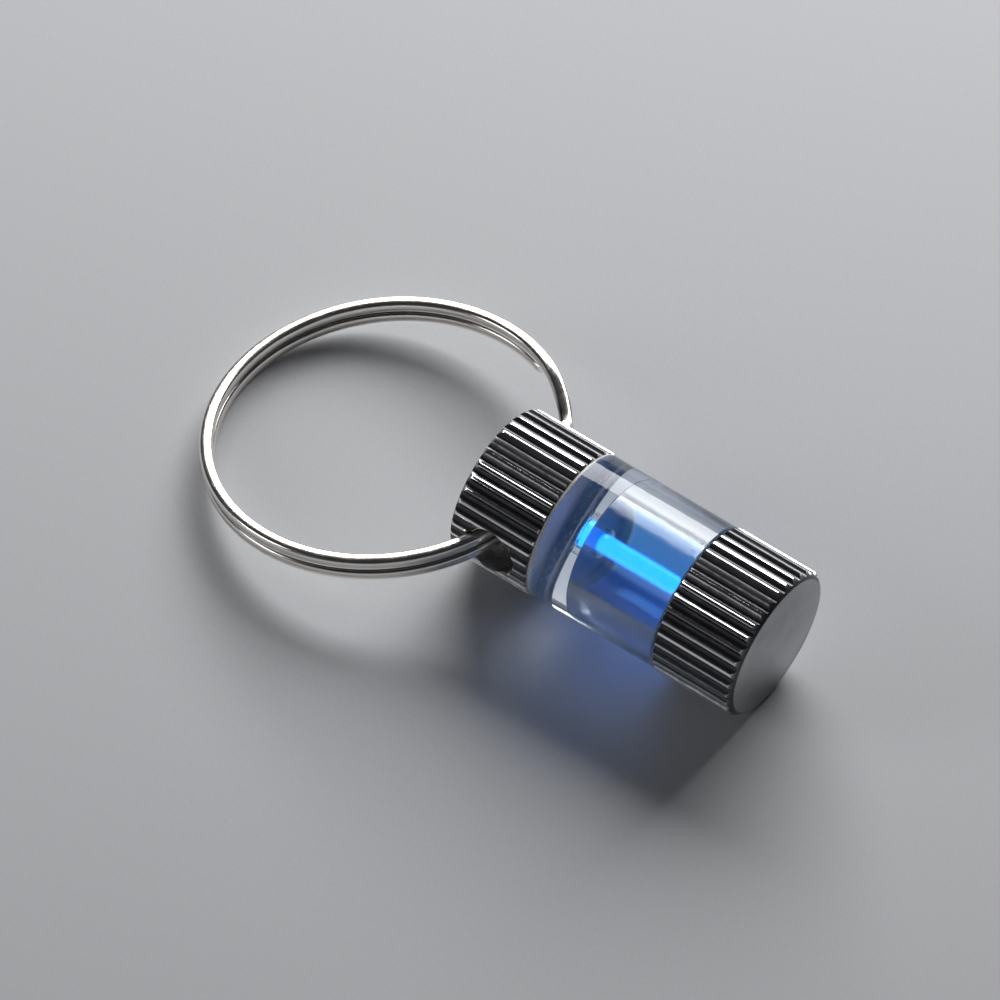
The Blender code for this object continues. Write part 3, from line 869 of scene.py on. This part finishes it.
def make_cushion(silicone):
    """Silicone plug: rounded rim, three soft sealing ribs, and the hollow that holds the vial's end."""
    low, high = span_x("vial_cushion")
    radius, hollow = CUSHION_RADIUS, VIAL_RADIUS + 0.08
    corners = [
        (high, 0.0, 0.0, 0),
        (high, radius - 0.1, 0.15, 0),
    ]
    ribs = 3
    step = (high - low) / ribs
    for rib in range(ribs):
        top = high - step * rib
        corners += [
            (top - step * 0.25, radius, 0.2, 0),
            (top - step * 0.65, radius, 0.2, 0),
            (top - step * 0.95, radius - 0.16, 0.12, 0),
        ]
    corners += [
        (low, radius - 0.3, 0.12, 0),
        (low, hollow + 0.14, 0.1, 0),
        (low + 0.14, hollow, 0.05, 0),
        (VIAL_OUTER + 0.1, hollow, 0.1, 0),
        (VIAL_OUTER + 0.1, 0.0, 0.0, 0),
    ]
    shape = bmesh.new()
    lathe(shape, eased(corners), 96)
    finish_piece("silicone_cushion", shape, "cushion", "vial_cushion", (silicone,), 50.0)


# ---------------------------------------------------------------- key ring


def ring_to_world(point):
    """From the ring's own frame, centred on the ring in millimetres, to the row frame in metres."""
    tilted = Matrix.Rotation(-RING_TILT, 3, "Y") @ (point - Vector((RING_FROM_HOLE, 0.0, 0.0)))
    return (tilted + Vector((HOLE_X, 0.0, AXIS_Z))) * MM


def make_key_ring(wire):
    """Two stacked turns of flattened spring wire, with a short cranked step and cut, dressed ends."""
    around_wire, per_turn = 24, 220
    radius = RING_OUTER_RADIUS - WIRE_WIDTH / 2
    start, end = RAMP_DEGREES + END_GAP_DEGREES, 720.0 - END_GAP_DEGREES
    count = round(per_turn * (end - start) / 360.0)
    offset = (WIRE_HEIGHT + TURN_GAP) / 2
    degree_length = math.radians(1.0) * radius
    shape = bmesh.new()
    rows = []
    for step in range(count + 1):
        degrees = start + (end - start) * step / count
        share = min(max((degrees - 360.0) / RAMP_DEGREES, 0.0), 1.0)
        height = -offset * math.cos(math.pi * share)
        from_end = min(degrees - start, end - degrees) * degree_length
        dressed = 1.0 - 0.16 * max(0.0, 1.0 - from_end / 0.22) ** 2
        direction = math.radians(degrees + RING_SEAM_DEGREES)
        row = []
        for index in range(around_wire):
            angle = 2 * math.pi * index / around_wire
            across = math.copysign(abs(math.cos(angle)) ** 0.62, math.cos(angle))
            up = math.copysign(abs(math.sin(angle)) ** 0.62, math.sin(angle))
            reach = radius + WIRE_WIDTH / 2 * across * dressed
            rise = height + WIRE_HEIGHT / 2 * up * dressed
            local = Vector((reach * math.cos(direction), reach * math.sin(direction), rise))
            row.append(shape.verts.new(ring_to_world(local)))
        rows.append(row)
    for low, high in zip(rows, rows[1:]):
        join_rows(shape, low, high)
    shape.faces.new(rows[0])
    shape.faces.new(rows[-1])
    finish_piece("split_key_ring", shape, "key_ring", "key_ring", (wire,), 60.0)


# ---------------------------------------------------------------- stage, light and camera


def make_floor():
    """A plain pale sweep of fine matt board under the fob."""
    shape = bmesh.new()
    bmesh.ops.create_grid(shape, x_segments=8, y_segments=8, size=2.0)
    mesh = bpy.data.meshes.new("floor")
    shape.to_mesh(mesh)
    shape.free()
    floor = bpy.data.objects.new("floor", mesh)
    bpy.context.scene.collection.objects.link(floor)
    board = Finish("pale_board", Specular_IOR_Level=0.25)
    tooth = board.noise(board.millimetres(), 3.0, 3.0)
    board.drive("Base Color", board.colours(tooth, (0.3, (0.62, 0.63, 0.65)), (0.7, (0.65, 0.66, 0.68))))
    board.drive("Roughness", board.ramp(tooth, 0.3, 0.7, 0.6, 0.7))
    mesh.materials.append(board.made)


def make_world():
    """Soft surroundings: pale near the horizon and dark overhead, so that polished metal has contrast."""
    world = bpy.data.worlds.new("studio")
    bpy.context.scene.world = world
    world.use_nodes = True
    tree = world.node_tree
    place = tree.nodes.new("ShaderNodeTexCoord")
    parts = tree.nodes.new("ShaderNodeSeparateXYZ")
    ramp = tree.nodes.new("ShaderNodeValToRGB")
    tree.links.new(place.outputs["Generated"], parts.inputs[0])
    tree.links.new(parts.outputs["Z"], ramp.inputs["Fac"])
    low, high = ramp.color_ramp.elements
    low.position, low.color = 0.02, (0.26, 0.265, 0.275, 1.0)
    high.position, high.color = 0.30, (0.02, 0.021, 0.024, 1.0)
    tree.links.new(ramp.outputs["Color"], tree.nodes["Background"].inputs["Color"])


def softbox(name, direction, distance, size, power):
    """A rectangular soft light aimed at the fob, its first side level along X; all in millimetres."""
    light = bpy.data.lights.new(name, "AREA")
    light.shape = "RECTANGLE"
    light.size, light.size_y = size[0] * MM, size[1] * MM
    light.energy = power
    lamp = bpy.data.objects.new(name, light)
    bpy.context.scene.collection.objects.link(lamp)
    towards = Vector(direction).normalized()
    side = (Vector((1.0, 0.0, 0.0)) - towards * towards.x).normalized()
    turn = Matrix((side, towards.cross(side), towards)).transposed().to_4x4()
    lamp.matrix_world = Matrix.Translation((TARGET + towards * distance) * MM) @ turn


def make_camera():
    """A long lens above and in front of the fob, rolled a little, aimed near its middle."""
    away = Vector(
        (
            math.cos(CAMERA_ELEVATION) * math.sin(CAMERA_AZIMUTH),
            -math.cos(CAMERA_ELEVATION) * math.cos(CAMERA_AZIMUTH),
            math.sin(CAMERA_ELEVATION),
        )
    )
    level = (-away).cross(Vector((0, 0, 1))).normalized()
    upright = level.cross(-away)
    right = math.cos(CAMERA_ROLL) * level + math.sin(CAMERA_ROLL) * upright
    up = math.cos(CAMERA_ROLL) * upright - math.sin(CAMERA_ROLL) * level
    data = bpy.data.cameras.new("camera")
    data.sensor_width = 36.0
    data.lens = 36.0 * CAMERA_DISTANCE / FRAME_WIDTH
    data.clip_start, data.clip_end = 0.01, 20.0
    camera = bpy.data.objects.new("camera", data)
    bpy.context.scene.collection.objects.link(camera)
    aim = TARGET + right * AIM_RIGHT - up * AIM_DOWN
    turn = Matrix((right, up, away)).transposed().to_4x4()
    camera.matrix_world = Matrix.Translation((aim + away * CAMERA_DISTANCE) * MM) @ turn
    bpy.context.scene.camera = camera


# ---------------------------------------------------------------- build


steels = (polished_steel(), faced_steel(), bored_steel())
glue = clear_adhesive()
glass = vial_glass()

make_ring_cap(steels)
make_end_cap(steels)
make_clear_body((clear_acrylic(), bored_acrylic(), wetted_joint(), wetted_pocket()))
make_ring_cap_bond(glue)
make_socket_bond(glue)
make_bubbles(glue)
make_o_ring(black_rubber())
make_vial(glass, blue_phosphor())
make_cushion(white_silicone())
make_key_ring(nickel_wire())

make_floor()
make_world()
softbox("key_softbox", (-0.32, 0.78, 0.54), KEY_DISTANCE, KEY_SIZE, KEY_WATTS)
softbox("front_fill", (-0.9, -0.8, 0.5), FILL_DISTANCE, FILL_SIZE, FILL_WATTS)
make_camera()
bpy.context.scene.view_settings.view_transform = "Standard"

bpy.context.view_layer.update()
